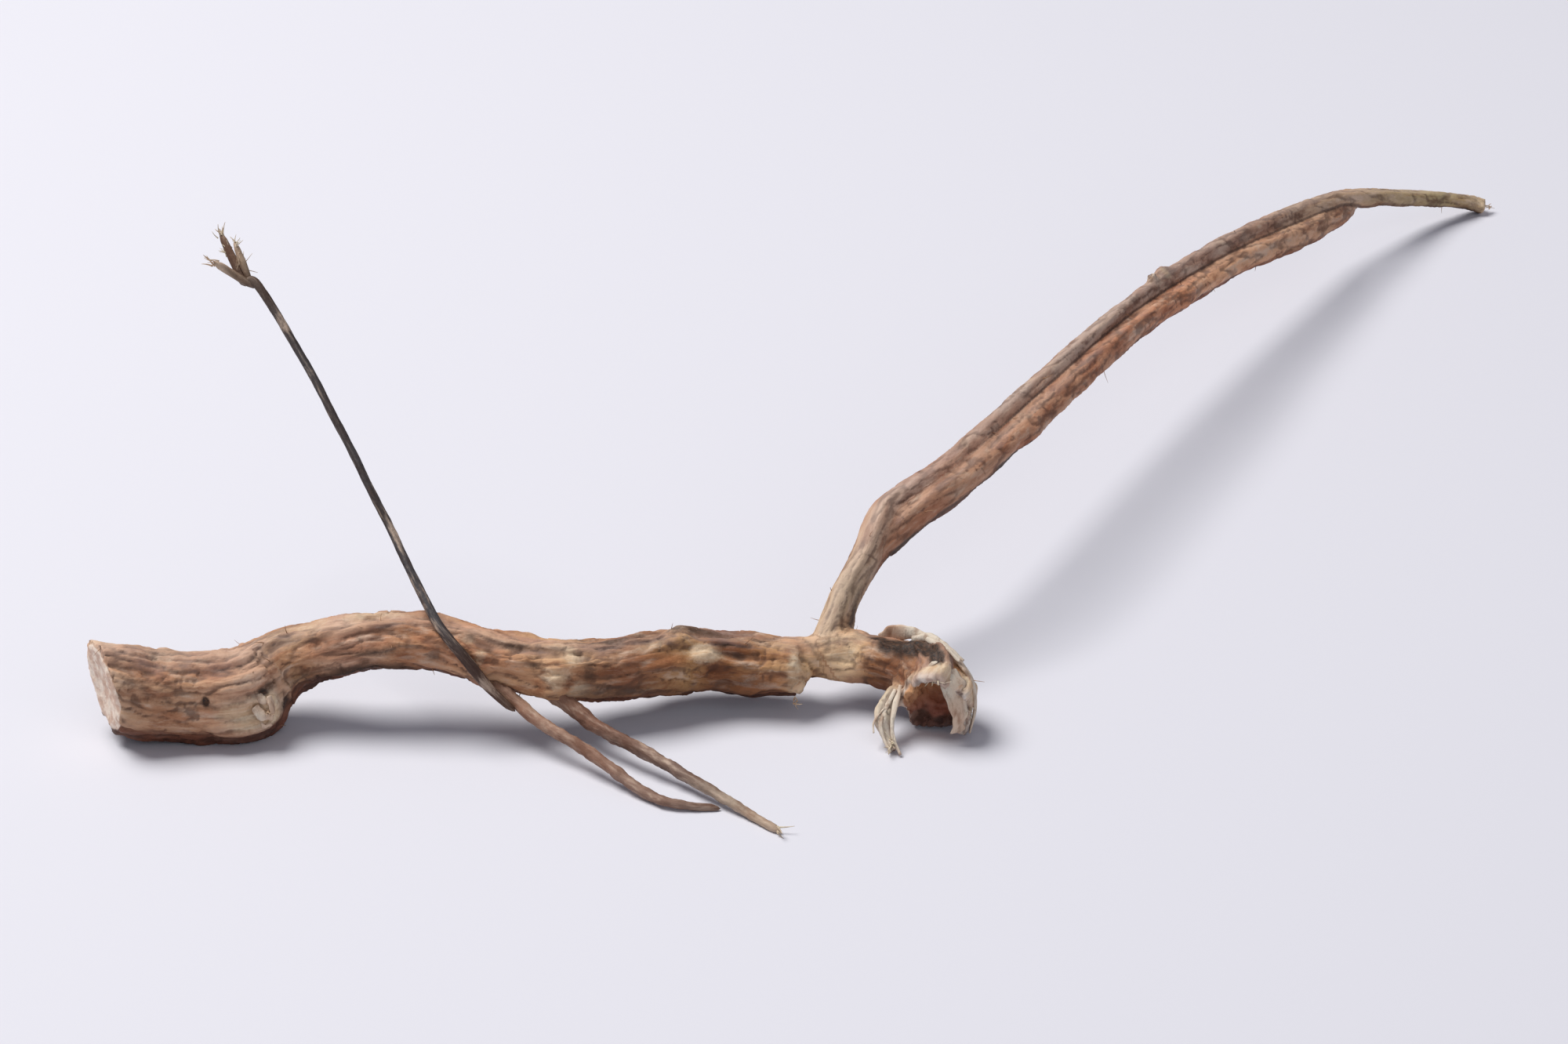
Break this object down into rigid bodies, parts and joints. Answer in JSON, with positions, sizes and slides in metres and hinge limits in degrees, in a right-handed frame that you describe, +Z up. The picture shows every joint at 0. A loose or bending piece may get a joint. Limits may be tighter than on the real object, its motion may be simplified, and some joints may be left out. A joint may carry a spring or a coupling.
{
  "type": "dried punarnava root",
  "caption": "Dried medicinal root with a stout wrinkled main stem, a long forked side root, wiry rootlets and a torn hollow knob, lying on its side.",
  "frame": {"origin": "middle of the root's footprint, on the surface that it lies on", "axes": "+X along the main root from its sawn end to its torn end, +Y towards the tip of the side root, +Z up"},
  "size_m": [0.1645, 0.17, 0.0434],
  "materials": {
    "bark": "rough, wrinkled dried bark"
  },
  "bodies": {
    "root": {"root": "bark"}
  },
  "joints": []
}
